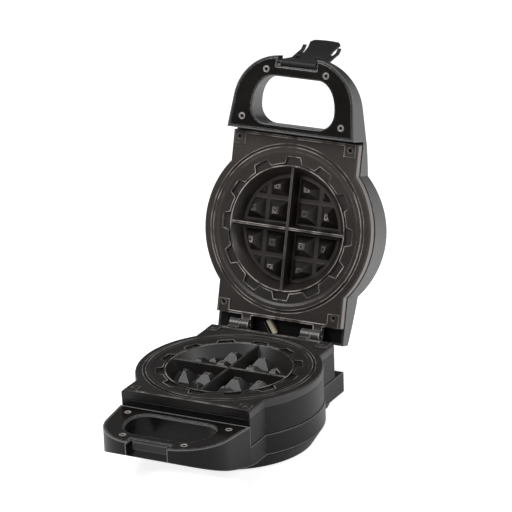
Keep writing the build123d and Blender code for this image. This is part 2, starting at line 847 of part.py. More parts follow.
# Keeper block in the base handle's recess
with BuildPart() as latch_keeper:
    with BuildSketch(Plane.XY.offset(keeper_top)):
        with Locations((0, -recess_rear)):
            Rectangle(2 * keeper_half_width, keeper_depth, align=(Align.CENTER, Align.MAX))
    extrude(amount=keeper_bottom - keeper_top)
    front = latch_keeper.faces().sort_by(Axis.Y)[0]
    chamfer(front.edges().filter_by(Axis.X), 0.8)
latch_keeper.part.move(base_frame.location)
latch_keeper.part.label = "latch_keeper"
export_step(latch_keeper.part, "parts/latch_keeper.step")

# Cord gland in the rear wall, with its bore for the lead
with BuildPart() as cord_gland:
    with Locations(Location((-gland_x, shell_rear, gland_z), (-90, 0, 0))):
        Cylinder(gland_flange, 2.0, align=(Align.CENTER, Align.CENTER, Align.MIN))
        Cylinder(gland_radius, 5.5, align=(Align.CENTER, Align.CENTER, Align.MAX))
        Cylinder(gland_bore, 20.0, mode=Mode.SUBTRACT)
    chamfer(cord_gland.faces().sort_by(Axis.Y)[-1].outer_wire().edges(), 0.6)
cord_gland.part.move(base_frame.location)
cord_gland.part.label = "cord_gland"
export_step(cord_gland.part, "parts/cord_gland.step")

# Wiring parts on the lower plate and on the bottom cover
with BuildPart() as thermostat:
    with BuildSketch(Plane.XY.offset(bowl_under)):
        Circle(thermostat_radius)
        Rectangle(3.2 * thermostat_radius, 8.0)
    extrude(amount=1.2)
    with BuildSketch(Plane.XY.offset(bowl_under)):
        Circle(thermostat_radius - 1)
    extrude(amount=thermostat_height)
    with BuildSketch(Plane.XY.offset(bowl_under + thermostat_height)):
        with GridLocations(7, 1, 2, 1):
            Rectangle(0.8, 6.3)
    extrude(amount=6)
thermostat.part.move(base_frame.location)
thermostat.part.label = "thermostat"
export_step(thermostat.part, "parts/thermostat.step")

with BuildPart() as thermal_fuse:
    with Locations(Location((0, fuse_y, bowl_under + fuse_radius), (0, 90, 0))):
        Cylinder(fuse_radius, fuse_length)
        Cylinder(fuse_radius / 3, 2.2 * fuse_length)
    with Locations((0, fuse_y, bowl_under)):
        Box(4, 4 * fuse_radius, 2 * fuse_radius + 1, align=(Align.CENTER, Align.CENTER, Align.MIN))
thermal_fuse.part.move(lid_frame.location)
thermal_fuse.part.label = "thermal_fuse"
export_step(thermal_fuse.part, "parts/thermal_fuse.step")

with BuildPart() as terminal_block:
    with Locations((-gland_x, block_y, cover_bottom - cover_wall - fit_gap)):
        Box(*block_size, align=(Align.CENTER, Align.CENTER, Align.MAX))
    top = cover_bottom - cover_wall - fit_gap - block_size[2]
    with BuildSketch(Plane.XY.offset(top)):
        with Locations((-gland_x, block_y)):
            with GridLocations(block_size[0] / 3, 1, 3, 1):
                Circle(3.0)
    extrude(amount=8, mode=Mode.SUBTRACT)
terminal_block.part.move(base_frame.location)
terminal_block.part.label = "terminal_block"
export_step(terminal_block.part, "parts/terminal_block.step")

# Lid shell with its handle ring
lid_root_z = lid_handle_face + rim_below_face
lid_seat = lid_handle_face + cover_thickness + fit_gap
with BuildPart() as above_lid:
    with BuildSketch(Plane.YZ):
        with BuildLine():
            tip = (-handle_tip - lid_tip[0], lid_tip[1])
            brow = (-plate_front - lid_brow[0], lid_brow[1])
            crease = (-plate_front - lid_crease[0], lid_crease[1])
            back = (shell_rear + lid_back[0], lid_back[1])
            ThreePointArc(tip, brow, crease)
            ThreePointArc(crease, lid_crown, back)
            Polyline(back, (back[0], 2 * lid_crown[1]), (tip[0], 2 * lid_crown[1]), tip)
        make_face()
    extrude(amount=plate_radius + 8, both=True)
with BuildPart() as lid_hollow:
    with BuildSketch(Plane.XY.offset(lid_rim - 1)):
        body_outline(shell_inner, rear=shell_rear - shell_wall)
    extrude(amount=60)
    with BuildSketch(Plane.XY.offset(lid_root_z - 1)):
        handle_outline(-shell_wall, lid_handle_rear + shell_wall)
        opening_outline(shell_wall, mode=Mode.SUBTRACT)
        recess_outline(recess_wall, mode=Mode.SUBTRACT)
        with Locations(*cover_screw_places):
            Circle(boss_radius, mode=Mode.SUBTRACT)
    extrude(amount=60)
    with BuildSketch(Plane.XY.offset(lid_rim + shell_wall)):
        handle_outline(-shell_wall, plate_front - shell_wall)
        opening_outline(shell_wall, mode=Mode.SUBTRACT)
        recess_outline(recess_wall, mode=Mode.SUBTRACT)
        with Locations(*cover_screw_places):
            Circle(boss_radius, mode=Mode.SUBTRACT)
    extrude(amount=60)
    add(above_lid.part.moved(Location((0, 0, -shell_wall))), mode=Mode.SUBTRACT)
with BuildPart() as lid_shell:
    with BuildSketch(Plane.XY.offset(lid_rim)):
        body_outline(shell_step, rear=shell_rear)
        handle_outline(0, plate_front + shell_step)
    extrude(amount=60)
    with BuildSketch(Plane.XY.offset(lid_root_z)):
        handle_outline(0, lid_handle_rear)
    extrude(amount=60)
    add(above_lid.part, mode=Mode.SUBTRACT)
    add(lid_hollow.part, mode=Mode.SUBTRACT)
    with BuildSketch(Plane.XY.offset(lid_root_z - 1)):
        opening_outline(0)
        recess_outline(0)
    extrude(amount=80, mode=Mode.SUBTRACT)
    with BuildSketch(Plane.XY.offset(lid_root_z - 1)):
        handle_outline(fit_gap - cover_inset, lid_handle_rear + cover_inset - fit_gap)
    extrude(amount=lid_seat - lid_root_z + 1, mode=Mode.SUBTRACT)
    with BuildSketch(Plane.XY.offset(lid_seat)):
        with Locations(*cover_screw_places):
            Circle(screw_radius + screw_clearance)
    extrude(amount=cover_screw_length, mode=Mode.SUBTRACT)
    with Locations(Location((0, pivot_y, pivot_z), (0, 90, 0))):
        Cylinder(latch_pin_radius + running_fit, latch_pin_length + 1, mode=Mode.SUBTRACT)
    with BuildSketch(Plane.XY.offset(lid_rim)):
        with Locations((-light_x, light_y), (light_x, light_y)):
            Circle(light_radius + fit_gap)
    extrude(amount=60, mode=Mode.SUBTRACT)
lid_shell.part.move(lid_frame.location)
lid_shell.part.label = "lid_shell"
export_step(lid_shell.part, "parts/lid_shell.step")

# Liner inside the lid shell, with the bosses of the plate screws
liner_in = shell_inner - fit_gap
liner_rear = shell_rear - shell_wall - fit_gap
with BuildPart() as lid_liner:
    with BuildSketch(Plane.XY.offset(casing_top)):
        body_outline(liner_in, rear=liner_rear)
        Circle(flange_radius, mode=Mode.SUBTRACT)
    extrude(amount=casing_flange)
    with BuildSketch(Plane.XY.offset(casing_top)):
        body_outline(liner_in, rear=liner_rear)
        body_outline(liner_in - casing_wall, rear=liner_rear - casing_wall, mode=Mode.SUBTRACT)
    extrude(amount=liner_lip)
    with BuildSketch(Plane.XY.offset(web_under + fit_gap)):
        with Locations(*screw_places):
            Circle(boss_radius)
    extrude(amount=boss_depth - web_under - fit_gap)
    with BuildSketch(Plane.XY):
        with Locations(*screw_places):
            Circle(screw_radius + screw_clearance)
    extrude(amount=boss_depth - casing_wall, mode=Mode.SUBTRACT)
lid_liner.part.move(lid_frame.location)
lid_liner.part.label = "lid_liner"
export_step(lid_liner.part, "parts/lid_liner.step")

# Indicator lenses on top of the lid
for name, x in (("power_light", -light_x), ("ready_light", light_x)):
    with BuildPart() as lens:
        with BuildSketch(Plane.XY.offset(light_low)):
            with Locations((x, light_y)):
                Circle(light_flange)
        extrude(amount=60)
        add(above_lid.part.moved(Location((0, 0, -shell_wall - fit_gap))), mode=Mode.SUBTRACT)
        with BuildSketch(Plane.XY.offset(light_low)):
            with Locations((x, light_y)):
                Circle(light_radius)
        extrude(amount=60)
        add(above_lid.part.moved(Location((0, 0, light_proud))), mode=Mode.SUBTRACT)
    lens.part.move(lid_frame.location)
    lens.part.label = name
    export_step(lens.part, "parts/" + name + ".step")

# Latch in its open pose, and its pin


def bent_strip(points, thickness):
    """Corner points of a strip of even thickness that follows a bent line"""
    sides = []
    for side in (1, -1):
        row = []
        for place, point in enumerate(points):
            before = Vector(*points[max(place - 1, 0)])
            here = Vector(*point)
            after = Vector(*points[min(place + 1, len(points) - 1)])
            leg_in = (here - before).normalized() if place else (after - here).normalized()
            leg_out = (after - here).normalized() if after != here else leg_in
            middle = (leg_in + leg_out).normalized()
            reach = side * thickness / 2 / middle.dot(leg_in)
            row.append((here.X - reach * middle.Y, here.Y + reach * middle.X))
        sides.append(row)
    return sides[0] + sides[1][::-1]


swing = radians(latch_closed_angle)
tongue_turn = radians(tongue_tilt)
blade_line = [(pivot_y - forward, pivot_z + up) for forward, up in latch_bends]
prong_line = blade_line[1:] + [(pivot_y - forward, pivot_z + up) for forward, up in prong_bends]
with BuildPart() as latch:
    with BuildSketch(Plane.YZ):
        Polygon(*bent_strip(blade_line, latch_thickness), align=None)
    extrude(amount=latch_width / 2, both=True)
    for side in (-1, 1):
        with BuildSketch(Plane.YZ.offset(side * (latch_width - prong_width) / 2)):
            Polygon(*bent_strip(prong_line, latch_thickness), align=None)
        extrude(amount=prong_width / 2, both=True)
    tongue_plane = Plane(
        origin=(0, *blade_line[-1]),
        x_dir=(1, 0, 0),
        z_dir=(0, -cos(tongue_turn), -sin(tongue_turn)),
    )
    with BuildSketch(tongue_plane):
        with BuildLine():
            arch = ThreePointArc(
                (tongue_neck - 1, tongue_length - 1.5),
                (0, tongue_length),
                (1 - tongue_neck, tongue_length - 1.5),
            )
            Polyline(
                arch @ 1,
                (-tongue_flare, 0.8 * tongue_length),
                (-tongue_neck, 0.4 * tongue_length),
                (-tongue_neck, -1),
                (tongue_neck, -1),
                (tongue_neck, 0.4 * tongue_length),
                (tongue_flare, 0.8 * tongue_length),
                arch @ 0,
            )
        make_face()
    extrude(amount=latch_thickness / 2, both=True)
    with BuildSketch(tongue_plane.offset(-latch_thickness / 2)):
        with Locations((0, 0.4 * tongue_length), (0, 0.65 * tongue_length)):
            Rectangle(1.7 * tongue_neck, 1.2)
    extrude(amount=-0.7)
    with BuildSketch(Plane.YZ.offset(-barrel_length / 2)):
        with Locations((pivot_y, pivot_z)):
            Circle(barrel_radius)
    extrude(amount=barrel_length)
    closed_plane = Plane(
        origin=(0, pivot_y, pivot_z),
        x_dir=(1, 0, 0),
        z_dir=(0, sin(swing), cos(swing)),
    )
    catch_drop = keeper_bottom + pivot_z + fit_gap
    catch_end = catch_grip - keeper_depth - recess_rear - pivot_y
    with BuildSketch(closed_plane.offset(-catch_drop)):
        for side in (-1, 1):
            with Locations((side * catch_x, catch_end)):
                Rectangle(catch_width, 5.5, align=(Align.CENTER, Align.MAX))
    extrude(amount=-catch_thickness)
    with BuildSketch(Plane.YZ.offset(-barrel_length)):
        with Locations((pivot_y, pivot_z)):
            Circle(latch_pin_radius + running_fit)
    extrude(amount=2 * barrel_length, mode=Mode.SUBTRACT)
latch.part.move(lid_frame.location)
latch.part.label = "latch"
export_step(latch.part, "parts/latch.step")

with BuildPart() as latch_pin:
    with Locations(Location((0, pivot_y, pivot_z), (0, 90, 0))):
        Cylinder(latch_pin_radius, latch_pin_length)
    chamfer(latch_pin.edges().filter_by(GeomType.CIRCLE), 0.3)
latch_pin.part.move(lid_frame.location)
latch_pin.part.label = "latch_pin"
export_step(latch_pin.part, "parts/latch_pin.step")

# Ribbed sleeve over the lid's heater wires, behind the hinge line
sleeve_start = Vector(sleeve_ends[0][0], sleeve_ends[0][1], sleeve_z)
sleeve_run = Vector(sleeve_ends[1][0], sleeve_ends[1][1], sleeve_z) - sleeve_start
with BuildPart() as wire_sleeve:
    with BuildSketch(Plane(sleeve_start, x_dir=(0, 0, 1), z_dir=sleeve_run)):
        Circle(sleeve_radius - sleeve_rib)
    extrude(amount=sleeve_run.length)
    rib_step = sleeve_run.length / sleeve_ribs
    for rib in range(sleeve_ribs):
        place = sleeve_start + sleeve_run.normalized() * ((rib + 0.2) * rib_step)
        with BuildSketch(Plane(place, x_dir=(0, 0, 1), z_dir=sleeve_run)):
            Circle(sleeve_radius)
        extrude(amount=0.6 * rib_step)
    with BuildSketch(Plane(sleeve_start, x_dir=(0, 0, 1), z_dir=sleeve_run)):
        Circle(sleeve_bore)
    extrude(amount=sleeve_run.length, mode=Mode.SUBTRACT)
wire_sleeve.part.move(lid_frame.location)
wire_sleeve.part.label = "wire_sleeve"
export_step(wire_sleeve.part, "parts/wire_sleeve.step")
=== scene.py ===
import math

import bmesh
import bpy
from mathutils import Matrix, Vector


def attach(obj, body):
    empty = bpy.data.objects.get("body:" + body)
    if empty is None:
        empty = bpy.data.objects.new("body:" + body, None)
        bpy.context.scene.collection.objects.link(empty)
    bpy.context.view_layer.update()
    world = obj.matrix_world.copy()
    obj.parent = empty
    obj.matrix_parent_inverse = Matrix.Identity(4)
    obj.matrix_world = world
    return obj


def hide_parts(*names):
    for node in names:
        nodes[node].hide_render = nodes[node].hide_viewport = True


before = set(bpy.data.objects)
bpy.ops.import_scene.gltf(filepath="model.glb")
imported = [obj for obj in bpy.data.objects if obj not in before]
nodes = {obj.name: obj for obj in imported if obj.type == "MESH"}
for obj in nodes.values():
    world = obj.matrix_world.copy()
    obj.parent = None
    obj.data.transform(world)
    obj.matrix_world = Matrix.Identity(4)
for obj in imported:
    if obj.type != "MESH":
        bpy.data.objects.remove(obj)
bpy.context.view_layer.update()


class Wire:
    """A socket of a node tree that takes part in sums"""

    def __init__(self, network, socket):
        self.network = network
        self.socket = socket

    def sum_node(self, operation, first, second):
        return self.network.node("ShaderNodeMath", {"operation": operation}, {0: first, 1: second})

    def __add__(self, other):
        return self.sum_node("ADD", self, other)

    def __radd__(self, other):
        return self.sum_node("ADD", other, self)

    def __sub__(self, other):
        return self.sum_node("SUBTRACT", self, other)

    def __rsub__(self, other):
        return self.sum_node("SUBTRACT", other, self)

    def __mul__(self, other):
        return self.sum_node("MULTIPLY", self, other)

    def __rmul__(self, other):
        return self.sum_node("MULTIPLY", other, self)

    def __pow__(self, other):
        return self.sum_node("POWER", self, other)


class Network:
    """Node tree of a finish or of the studio, and the shader that it feeds"""

    def __init__(self, tree, shader):
        self.tree = tree
        self.shader = tree.nodes[shader]

    def node(self, kind, settings, inputs, output=0):
        made = self.tree.nodes.new(kind)
        for key, value in settings.items():
            setattr(made, key, value)
        for key, value in inputs.items():
            if isinstance(value, Wire):
                self.tree.links.new(value.socket, made.inputs[key])
            else:
                made.inputs[key].default_value = value
        return Wire(self, made.outputs[output])

    def feed(self, socket, wire):
        self.tree.links.new(wire.socket, self.shader.inputs[socket])

    def spread(self, wire, low, high, to_low=0.0, to_high=1.0):
        """Carry the range from low to high onto another, and stop at its ends"""
        inputs = {"Value": wire, "From Min": low, "From Max": high, "To Min": to_low, "To Max": to_high}
        return self.node("ShaderNodeMapRange", {"clamp": True}, inputs)

    def larger(self, first, second):
        return self.node("ShaderNodeMath", {"operation": "MAXIMUM"}, {0: first, 1: second})

    def along(self, vector, direction):
        """How far a vector reaches along a direction"""
        inputs = {0: vector, 1: direction}
        return self.node("ShaderNodeVectorMath", {"operation": "DOT_PRODUCT"}, inputs, "Value")

    def ray(self, kind):
        """1 for rays of a kind, such as Camera or Glossy, and 0 for all others"""
        return self.node("ShaderNodeLightPath", {}, {}, f"Is {kind} Ray")


class Recipe(Network):
    """One finish: a Principled shader and the nodes that vary it"""

    def __init__(self, name, **constants):
        self.material = bpy.data.materials.new(name)
        self.material.use_nodes = True
        super().__init__(self.material.node_tree, "Principled BSDF")
        for socket, value in constants.items():
            self.shader.inputs[socket.replace("_", " ")].default_value = value
        self.place = self.node("ShaderNodeTexCoord", {}, {}, "Object")
        self.facing = self.node("ShaderNodeTexCoord", {}, {}, "Normal")

    def noise(self, scale, detail, roughness=0.5):
        inputs = {"Vector": self.place, "Scale": scale, "Detail": detail, "Roughness": roughness}
        return self.node("ShaderNodeTexNoise", {}, inputs, "Fac")

    def blend(self, mask, below, above):
        """Mix of two colours, each a wire or its red, green and blue"""
        first, second = (each if isinstance(each, Wire) else colour(*each) for each in (below, above))
        # In a Mix node set to colours these are the sockets 6 and 7, and the result is output 2
        return self.node("ShaderNodeMix", {"data_type": "RGBA"}, {0: mask, 6: first, 7: second}, 2)

    def openness(self, reach, inside):
        """How much room a place has within reach, inside the solid or outside it"""
        settings = {"samples": 4, "inside": inside}
        return self.node("ShaderNodeAmbientOcclusion", settings, {"Distance": reach}, "AO")

    def edges(self, radius):
        """Mask of the outer edges, which the finishes paint lighter as edge highlights and partly as
        rubbing from use, and the normal rounded over them
        """
        rounded = self.node("ShaderNodeBevel", {"samples": 4}, {"Radius": radius})
        return self.spread(1.0 - self.openness(1.3 * radius, inside=True), 0.06, 0.32), rounded

    def corners(self, reach, low, high):
        """Mask of the inner corners and grooves, used for painted shade where little light comes"""
        return self.spread(1.0 - self.openness(reach, inside=False), low, high)

    def bump(self, height, distance, strength, normal=None):
        inputs = {"Height": height, "Distance": distance, "Strength": strength}
        if normal:
            inputs["Normal"] = normal
        return self.node("ShaderNodeBump", {}, inputs)


def colour(*values):
    return (*values, 1.0)


class PlateRegions:
    """Masks of a cooking plate's regions, by their places round its cooking circle in metres"""

    # Each pair says where a boundary starts and where it is passed
    cells_end = (0.066, 0.069)
    groove_start = (0.0750, 0.0756)
    groove_end = (0.0913, 0.0925)
    rim = (0.1095, 0.1105)
    neck_side = (0.0828, 0.0836)
    plate_front = (-0.1110, -0.1100)
    plate_rear = (0.1125, 0.1135)
    lug_front = (0.1130, 0.1145)
    pad_side = (0.066, 0.068)
    pad_start = (0.106, 0.110)
    middle_rib = (0.0030, 0.0034)

    # How squarely a face looks out of the plate, from 0 on its walls to 1 on its level faces
    wall_facing = (0.3, 0.6)
    slope_facing = (0.55, 0.93)
    level_facing = (0.75, 0.95)

    def __init__(self, finish, middle, down, out):
        inputs = {0: finish.place, 1: middle}
        offset = finish.node("ShaderNodeVectorMath", {"operation": "SUBTRACT"}, inputs)
        across = finish.along(offset, (1.0, 0.0, 0.0))
        self.finish = finish
        self.across_squared = across * across
        self.rearward = finish.along(offset, down)
        self.reach = (self.across_squared + self.rearward * self.rearward) ** 0.5
        self.squareness = finish.along(finish.facing, out)

    def sideways(self, boundary, *levels):
        """Mask beyond a distance to either side of the plate's middle line"""
        return self.finish.spread(self.across_squared, *(value**2 for value in boundary), *levels)

    def slopes(self):
        """The slopes of the cells, and more weakly those of the ring and rim outside them, which take
        painted shade
        """
        steep = self.finish.spread(self.squareness, *self.slope_facing, 1.0, 0.0)
        return steep * self.finish.spread(self.reach, *self.cells_end, 0.9, 0.35)

    def groove(self):
        after = self.finish.spread(self.reach, *self.groove_start)
        return after * self.finish.spread(self.reach, *self.groove_end, 1.0, 0.0)

    def side_wall(self):
        """The outer side of the plate, without its hinge lugs, where a pale reflection is painted"""
        beyond_rim = self.finish.spread(self.reach, *self.rim)
        beside = self.finish.larger(beyond_rim, self.sideways(self.neck_side))
        behind_front = self.finish.spread(self.rearward, *self.plate_front)
        before_lugs = self.finish.spread(self.rearward, *self.plate_rear, 1.0, 0.0)
        upright = self.finish.spread(self.squareness, *self.wall_facing, 1.0, 0.0)
        return beside * (behind_front * before_lugs) * upright

    def lugs(self):
        return self.finish.spread(self.rearward, *self.lug_front)

    def highlit_and_rubbed_tops(self):
        """Level edges painted bright as highlight and partly by rubbing, less so on the screw pads and
        along the middle rib
        """
        level = self.finish.spread(self.squareness, *self.level_facing)
        pads = self.sideways(self.pad_side) * self.finish.spread(self.reach, *self.pad_start)
        return level * (1.0 - pads * 0.7) * self.sideways(self.middle_rib, 0.25, 1.0)


def coated_casting(name, dark, light, shade_colour, edge_highlight, side_reflection, stain, middle, down, out):
    """Dark satin release coating sprayed over a casting, with painted shade on the slopes of the cells,
    in the corners and the groove and toward the hinge, painted highlights on the level edges, partly
    rubbing from use, a painted pale reflection on the outer side of the plate and a painted highlight
    on the hinge lugs"""
    finish = Recipe(name, Specular_IOR_Level=0.5, Metallic=0.0)
    plate = PlateRegions(finish, middle, down, out)
    cloud = finish.noise(scale=14.0, detail=4.0)
    speckle = finish.noise(scale=1500.0, detail=2.0, roughness=0.6)
    grain = finish.noise(scale=700.0, detail=3.0, roughness=0.6)
    edge_patches = finish.noise(scale=48.0, detail=2.0)
    edge_mask, rounded = finish.edges(0.0011)
    fleck_light = tuple(2.0 * value for value in light)
    lug_highlight = (0.085, 0.080, 0.077)

    sprayed = finish.blend(finish.spread(cloud, 0.35, 0.65), dark, light)
    flecked = finish.blend(finish.spread(speckle, 0.56, 0.70, 0.0, 0.5), sprayed, fleck_light)
    # Painted shade: the plate is darker toward the hinge, by the stain amount, in the shade colour
    hinge_shaded = finish.blend(finish.spread(plate.rearward, -0.09, 0.10) * stain, flecked, shade_colour)
    # Painted shade on the slopes of the cells
    slope_shaded = finish.blend(plate.slopes(), hinge_shaded, shade_colour)
    # Painted shade in the inner corners and the groove
    recess_shade = finish.larger(finish.corners(0.005, 0.2, 0.8) * 0.7, plate.groove() * 0.4)
    recess_shaded = finish.blend(recess_shade, slope_shaded, shade_colour)
    # Painted reflection: the outer side of the plate is painted pale
    side_reflected = finish.blend(plate.side_wall(), recess_shaded, side_reflection)
    # Painted highlight: the hinge lugs are painted lighter grey
    lugs_highlit = finish.blend(plate.lugs() * 0.6, side_reflected, lug_highlight)
    # Painted highlight on the level edges of the cells and rings, in patches, partly rubbing from use
    highlit_and_rubbed = edge_mask * finish.spread(edge_patches, 0.40, 0.60, 0.12, 1.0) * plate.highlit_and_rubbed_tops()
    finish.feed("Base Color", finish.blend(highlit_and_rubbed, lugs_highlit, edge_highlight))
    satin = finish.spread(cloud, 0.3, 0.7, 0.38, 0.46)
    finish.feed("Roughness", satin - edge_mask * 0.16 - plate.lugs() * 0.14)
    finish.feed("Normal", finish.bump(grain, 0.0004, 0.16, rounded))
    return finish.material


def gloss_plastic(name, dark, light, rough, edge_highlight, shine):
    """Moulded black plastic with a high-gloss skin, faint smears, a slight flow in the gloss and
    painted highlights along its edges
    """
    finish = Recipe(name, Specular_IOR_Level=shine)
    smear = finish.noise(scale=22.0, detail=3.0)
    flow = finish.noise(scale=90.0, detail=2.0)
    fine = finish.noise(scale=2600.0, detail=2.0)
    edge_mask, rounded = finish.edges(0.0010)
    moulded = finish.blend(finish.spread(smear, 0.35, 0.7), dark, light)
    # Painted highlight along the edges, partly rubbing from use: the edge mask lightens the colour
    finish.feed("Base Color", finish.blend(edge_mask * 0.9, moulded, edge_highlight))
    finish.feed("Roughness", finish.spread(smear, 0.3, 0.7, rough, rough + 0.08) + fine * 0.03)
    finish.feed("Normal", finish.bump(flow, 0.0006, 0.05, rounded))
    return finish.material


def satin_plastic(name, dark, light, rough, grain_scale, grain_height):
    """Moulded plastic with an eroded satin grain, its edges painted lighter as highlight and partly as
    polish from use
    """
    finish = Recipe(name, Specular_IOR_Level=0.22)
    cloud = finish.noise(scale=18.0, detail=4.0)
    inputs = {"Vector": finish.place, "Scale": grain_scale, "Randomness": 1.0}
    cells = finish.node("ShaderNodeTexVoronoi", {}, inputs, "Distance")
    pores = finish.noise(scale=grain_scale * 0.6, detail=3.0, roughness=0.6)
    edge_mask, rounded = finish.edges(0.0010)
    moulded = finish.blend(finish.spread(cloud, 0.35, 0.65), dark, light)
    polish_and_highlight = tuple(min(1.0, 2.6 * value + 0.02) for value in light)
    # Painted highlight along the edges, partly polish from use
    finish.feed("Base Color", finish.blend(edge_mask * 0.6, moulded, polish_and_highlight))
    finish.feed("Roughness", finish.spread(pores, 0.3, 0.7, rough - 0.04, rough + 0.06) - edge_mask * 0.12)
    finish.feed("Normal", finish.bump(cells + pores, 0.0002, grain_height, rounded))
    return finish.material


def bright_steel(name, dark, light, rough):
    """Plated steel with fine turning marks and dull spots, and painted shade in its corners"""
    finish = Recipe(name, Metallic=1.0)
    dull = finish.noise(scale=160.0, detail=3.0)
    marks = finish.noise(scale=1800.0, detail=2.0)
    edge_mask, rounded = finish.edges(0.0004)
    corner_shade = (0.012, 0.010, 0.009)
    plated = finish.blend(finish.spread(dull, 0.3, 0.7), dark, light)
    # Painted shade: the inner corners are darkened to the corner shade colour
    finish.feed("Base Color", finish.blend(finish.corners(0.0016, 0.1, 0.6), plated, corner_shade))
    finish.feed("Roughness", finish.spread(dull, 0.3, 0.7, rough, rough + 0.12) + edge_mask * 0.05)
    finish.feed("Normal", finish.bump(marks, 0.0001, 0.2, rounded))
    return finish.material


def burnt_steel():
    """Element sheath, browned by heat in bands"""
    finish = Recipe("burnt_steel", Metallic=1.0)
    bands = finish.noise(scale=60.0, detail=4.0, roughness=0.7)
    browned = finish.blend(finish.spread(bands, 0.35, 0.65), (0.16, 0.12, 0.10), (0.34, 0.31, 0.29))
    finish.feed("Base Color", browned)
    finish.feed("Roughness", finish.spread(bands, 0.3, 0.7, 0.32, 0.55))
    return finish.material


def soft_rubber():
    """Dull black rubber with a dusty bloom"""
    finish = Recipe("soft_rubber", Specular_IOR_Level=0.3)
    bloom = finish.noise(scale=120.0, detail=5.0, roughness=0.65)
    dusty = finish.blend(finish.spread(bloom, 0.4, 0.75), (0.014, 0.014, 0.015), (0.045, 0.044, 0.043))
    finish.feed("Base Color", dusty)
    finish.feed("Roughness", finish.spread(bloom, 0.3, 0.7, 0.62, 0.8))
    finish.feed("Normal", finish.bump(bloom, 0.0003, 0.25))
    return finish.material


def woven_sleeve():
    """Cream glass-fibre sleeving with a fine crossed weave"""
    finish = Recipe("woven_sleeve", Specular_IOR_Level=0.3, Sheen_Weight=0.3)
    settings = {"wave_type": "BANDS", "bands_direction": "DIAGONAL"}
    inputs = {"Vector": finish.place, "Scale": 420.0, "Distortion": 1.5, "Detail": 1.0}
    weave = finish.node("ShaderNodeTexWave", settings, inputs, "Fac")
    stain = finish.noise(scale=110.0, detail=4.0)
    cream = finish.blend(finish.spread(stain, 0.35, 0.7), (0.62, 0.54, 0.38), (0.80, 0.74, 0.60))
    finish.feed("Base Color", finish.blend(weave * 0.35, cream, (0.42, 0.33, 0.20)))
    finish.feed("Roughness", finish.spread(weave, 0.0, 1.0, 0.55, 0.8))
    finish.feed("Normal", finish.bump(weave, 0.0003, 0.5))
    return finish.material


def lens(name, deep, pale):
    """Tinted indicator lens with fine ripples"""
    finish = Recipe(name, Specular_IOR_Level=0.6, Coat_Weight=0.6, Coat_Roughness=0.05)
    ripple = finish.noise(scale=900.0, detail=2.0)
    finish.feed("Base Color", finish.blend(finish.spread(ripple, 0.3, 0.7), deep, pale))
    finish.feed("Roughness", finish.spread(ripple, 0.3, 0.7, 0.12, 0.22))
    finish.feed("Normal", finish.bump(ripple, 0.0002, 0.2))
    return finish.material


# Middles of the two cooking circles in metres, and how far the lid stands open
circle_y = -0.03881
parting_z = 0.094
hinge_reach = 0.1237
open_turn = math.radians(106.6)
open_cos = math.cos(open_turn)
open_sin = math.sin(open_turn)
base_middle = (0.0, circle_y, parting_z)
lid_middle = (0.0, circle_y + hinge_reach * (1.0 - open_cos), parting_z + hinge_reach * open_sin)

lid_casting = coated_casting(
    "lid_casting",
    dark=(0.029, 0.022, 0.019),
    light=(0.041, 0.032, 0.028),
    shade_colour=(0.0050, 0.0032, 0.0022),
    edge_highlight=(0.70, 0.64, 0.60),
    side_reflection=(0.30, 0.27, 0.255),
    # How strongly the lid plate is painted darker toward the hinge as shade
    stain=0.55,
    middle=lid_middle,
    down=(0.0, open_cos, -open_sin),
    out=(0.0, -open_sin, -open_cos),
)
# The same coating on the base, painted darker as shade, with dimmer painted edge highlights and a side
# reflection close to its own colour
shaded_base_casting = coated_casting(
    "shaded_base_casting",
    dark=(0.009, 0.0075, 0.007),
    light=(0.014, 0.012, 0.011),
    shade_colour=(0.0040, 0.0030, 0.0026),
    edge_highlight=(0.50, 0.47, 0.45),
    side_reflection=(0.022, 0.020, 0.020),
    stain=0.0,
    middle=base_middle,
    down=(0.0, 1.0, 0.0),
    out=(0.0, 0.0, 1.0),
)
lid_gloss = gloss_plastic(
    "lid_gloss",
    dark=(0.010, 0.0105, 0.011),
    light=(0.015, 0.0155, 0.0165),
    rough=0.18,
    edge_highlight=(0.16, 0.16, 0.165),
    shine=0.8,
)
# The same black gloss plastic as the lid's shell, painted darker as shade on the base
shaded_base_gloss = gloss_plastic(
    "shaded_base_gloss",
    dark=(0.006, 0.0062, 0.0065),
    light=(0.009, 0.0092, 0.0096),
    rough=0.22,
    edge_highlight=(0.28, 0.28, 0.28),
    shine=0.22,
)
handle_gloss = gloss_plastic(
    "handle_gloss",
    dark=(0.0060, 0.0048, 0.0042),
    light=(0.0085, 0.0070, 0.0062),
    rough=0.12,
    edge_highlight=(0.62, 0.61, 0.60),
    shine=0.4,
)
casing_satin = satin_plastic(
    "casing_satin",
    dark=(0.0055, 0.0055, 0.006),
    light=(0.009, 0.009, 0.0095),
    rough=0.34,
    grain_scale=1500.0,
    grain_height=0.08,
)
latch_matte = satin_plastic(
    "latch_matte",
    dark=(0.014, 0.014, 0.015),
    light=(0.021, 0.021, 0.022),
    rough=0.50,
    grain_scale=1300.0,
    grain_height=0.22,
)
keeper_matte = satin_plastic(
    "keeper_matte",
    dark=(0.034, 0.034, 0.036),
    light=(0.046, 0.046, 0.048),
    rough=0.42,
    grain_scale=1300.0,
    grain_height=0.18,
)
white_block = satin_plastic(
    "white_block",
    dark=(0.62, 0.60, 0.55),
    light=(0.72, 0.70, 0.66),
    rough=0.45,
    grain_scale=900.0,
    grain_height=0.15,
)
screw_steel = bright_steel(
    "screw_steel",
    dark=(0.42, 0.36, 0.33),
    light=(0.66, 0.58, 0.54),
    rough=0.28,
)
